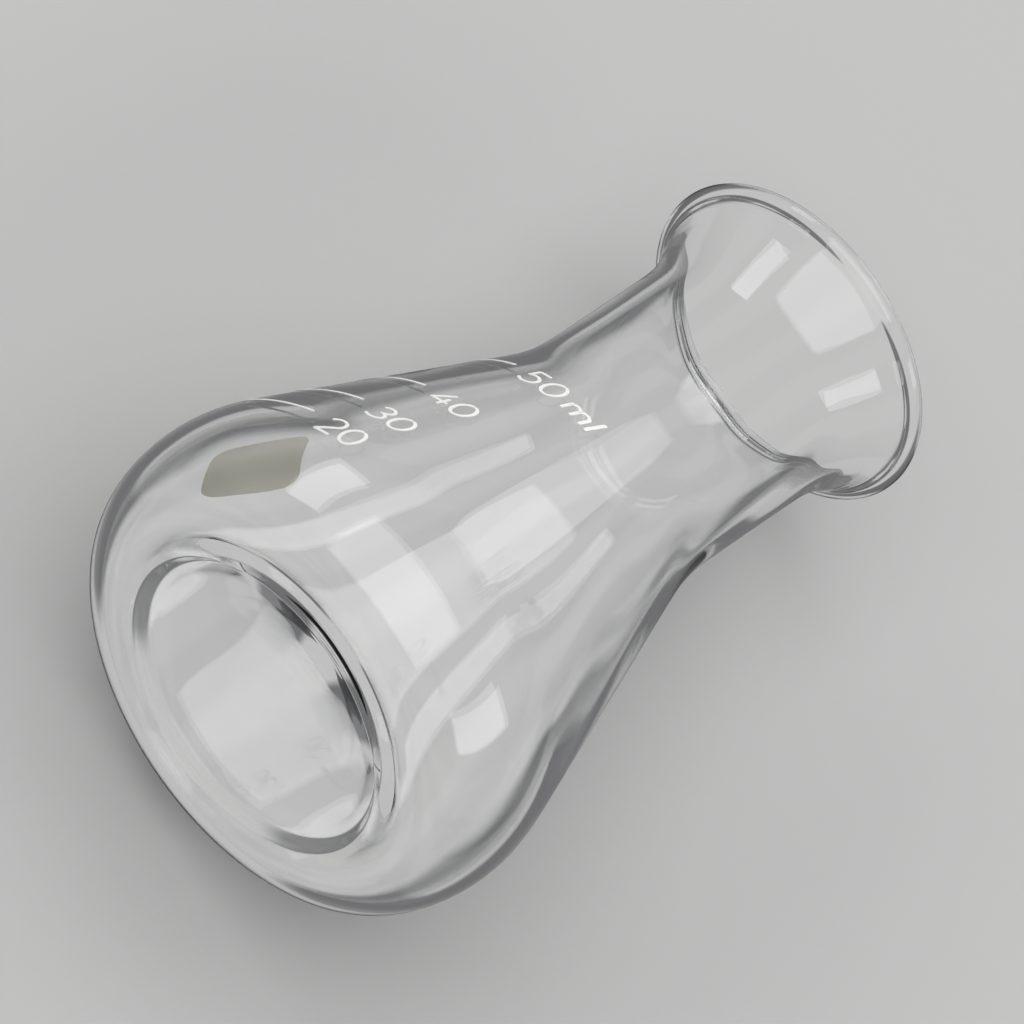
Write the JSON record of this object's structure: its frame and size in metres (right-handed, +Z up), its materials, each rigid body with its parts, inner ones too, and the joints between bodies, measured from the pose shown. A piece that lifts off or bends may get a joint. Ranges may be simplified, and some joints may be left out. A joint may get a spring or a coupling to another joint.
{
  "type": "erlenmeyer flask",
  "caption": "Small conical laboratory flask of clear blown glass with a wide flared, beaded mouth, a recessed base, a writing patch and an enamel volume scale.",
  "frame": {"origin": "centre of the ring that the flask stands on, on its axis", "axes": "+Z up the axis from the base to the mouth; -Y is the front, and the scale and the patch are placed by their azimuth from it"},
  "size_m": [0.051, 0.051, 0.075],
  "materials": {
    "clear_glass": "clear, fire polished",
    "patch_enamel": "matt, slightly translucent",
    "scale_enamel": "satin"
  },
  "bodies": {
    "root": {"flask_body": "clear_glass", "writing_patch": "patch_enamel", "front_line_20": "scale_enamel", "front_line_30": "scale_enamel", "front_line_40": "scale_enamel", "front_line_50": "scale_enamel"}
  },
  "joints": []
}
